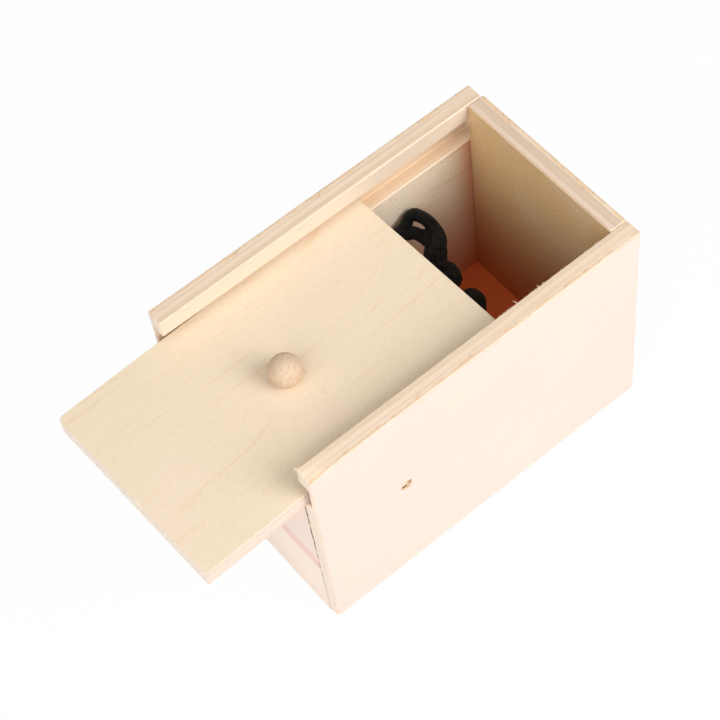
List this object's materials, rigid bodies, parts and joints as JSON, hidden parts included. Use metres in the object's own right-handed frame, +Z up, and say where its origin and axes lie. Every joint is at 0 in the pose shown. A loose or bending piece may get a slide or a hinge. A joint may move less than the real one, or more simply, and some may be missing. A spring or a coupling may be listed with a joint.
{
  "type": "sliding lid scare box",
  "caption": "Small plywood box with a loose sliding lid and ball knob; pulling the lid out lets a sprung arm raise a black rubber scorpion from inside.",
  "frame": {"origin": "centre of the box's footprint, on the face it stands on", "axes": "+X from the lid's open mouth to the back wall, +Z up, lid drawn out towards -X"},
  "size_m": [0.1335, 0.0624, 0.0715],
  "materials": {
    "plywood": "bare sanded plywood",
    "turned_wood": "bare turned beech",
    "dowel_wood": "bare dowel",
    "arm_wood": "bare sawn wood",
    "spring_steel": "drawn wire",
    "tie_wire": "annealed dark wire",
    "black_rubber": "soft moulded, low sheen"
  },
  "bodies": {
    "box": {"near_side_wall": "plywood", "far_side_wall": "plywood", "front_wall": "plywood", "back_wall": "plywood", "floor_panel": "plywood", "pivot_dowel": "dowel_wood", "near_sleeve": "dowel_wood", "far_sleeve": "dowel_wood", "spring_staple": "spring_steel", "torsion_spring": "spring_steel"},
    "lid": {"lid_panel": "plywood", "lid_knob": "turned_wood", "knob_peg": "turned_wood"},
    "arm": {"arm_block": "arm_wood", "arm_lath": "arm_wood", "scorpion": "black_rubber", "rear_tie": "tie_wire", "front_tie": "tie_wire"}
  },
  "joints": [
    {"name": "lid_slide", "type": "slide", "parent": "box", "child": "lid", "axis": [-1, 0, 0], "range_m": [-0.0328, 0.0519]},
    {"name": "arm_swing", "type": "hinge", "parent": "box", "child": "arm", "pos_m": [-0.0248, 0, 0.038], "axis": [0, -1, 0], "range_deg": [-45, 70.3], "stiffness_Nm_per_rad": 0.003, "springref_deg": 91.67, "deforming": ["torsion_spring"]}
  ],
  "couplings": [
    {"joint": "arm_swing", "follows": "lid_slide", "rad_per_m": 23.562}
  ]
}
